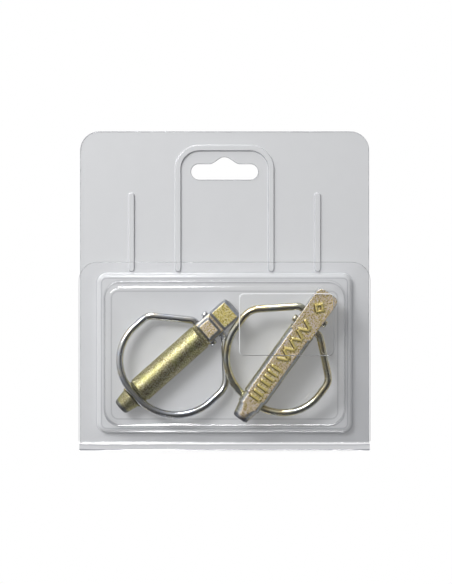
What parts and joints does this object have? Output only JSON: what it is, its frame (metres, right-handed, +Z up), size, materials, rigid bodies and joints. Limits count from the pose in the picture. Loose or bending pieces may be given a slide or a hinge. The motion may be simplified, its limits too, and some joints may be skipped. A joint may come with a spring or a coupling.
{
  "type": "carded linch pin set",
  "caption": "Clear fold-over hang pack with an embossed tray and pocket, holding forged linch pins with swinging wire locking rings.",
  "frame": {"origin": "centre of the hang slot, on the card's flat back face", "axes": "+Z up the card, -Y out of the pack's front, +X to the viewer's right when facing the front"},
  "size_m": [0.1296, 0.0206, 0.1426],
  "materials": {
    "clear_sheet": "clear, glossy",
    "plated_forging": "yellow zinc plate over a grainy forging",
    "plated_wire": "bright zinc plated wire"
  },
  "bodies": {
    "card": {"hang_card": "clear_sheet"},
    "gusset": {"bottom_gusset": "clear_sheet"},
    "flap": {"front_flap": "clear_sheet"},
    "left_pin": {"linch_pin_left": "plated_forging"},
    "left_ring": {"spring_ring_left": "plated_wire"},
    "right_pin": {"linch_pin_right": "plated_forging"},
    "right_ring": {"spring_ring_right": "plated_wire"}
  },
  "joints": [
    {"name": "gusset_folds", "type": "hinge", "parent": "card", "child": "gusset", "pos_m": [0, -0.00025, -0.1213], "axis": [1, 0, 0], "range_deg": [0, 58.34]},
    {"name": "flap_opens", "type": "hinge", "parent": "gusset", "child": "flap", "pos_m": [0, -0.00495, -0.1242], "axis": [1, 0, 0], "range_deg": [0, 121.68]},
    {"name": "left_pin_lifts_out", "type": "slide", "parent": "card", "child": "left_pin", "axis": [0, -1, 0], "range_m": [0, 0.06]},
    {"name": "left_ring_swings", "type": "hinge", "parent": "left_pin", "child": "left_ring", "pos_m": [-0.00893, -0.0078, -0.07183], "axis": [-0.6652, 0, 0.7466], "range_deg": [0, 180]},
    {"name": "right_pin_lifts_out", "type": "slide", "parent": "card", "child": "right_pin", "axis": [0, -1, 0], "range_m": [0, 0.054]},
    {"name": "right_ring_swings", "type": "hinge", "parent": "right_pin", "child": "right_ring", "pos_m": [0.03543, -0.0158, -0.06863], "axis": [0.8131, 0, -0.5821], "range_deg": [0, 180]}
  ],
  "couplings": [
    {"joint": "flap_opens", "follows": "right_pin_lifts_out", "rad_per_m": 39.327},
    {"joint": "gusset_folds", "follows": "right_pin_lifts_out", "rad_per_m": 18.851},
    {"joint": "left_pin_lifts_out", "follows": "right_pin_lifts_out", "ratio": 0.37037},
    {"joint": "left_ring_swings", "follows": "right_pin_lifts_out", "rad_per_m": 19.392},
    {"joint": "right_ring_swings", "follows": "right_pin_lifts_out", "rad_per_m": 12.928}
  ]
}
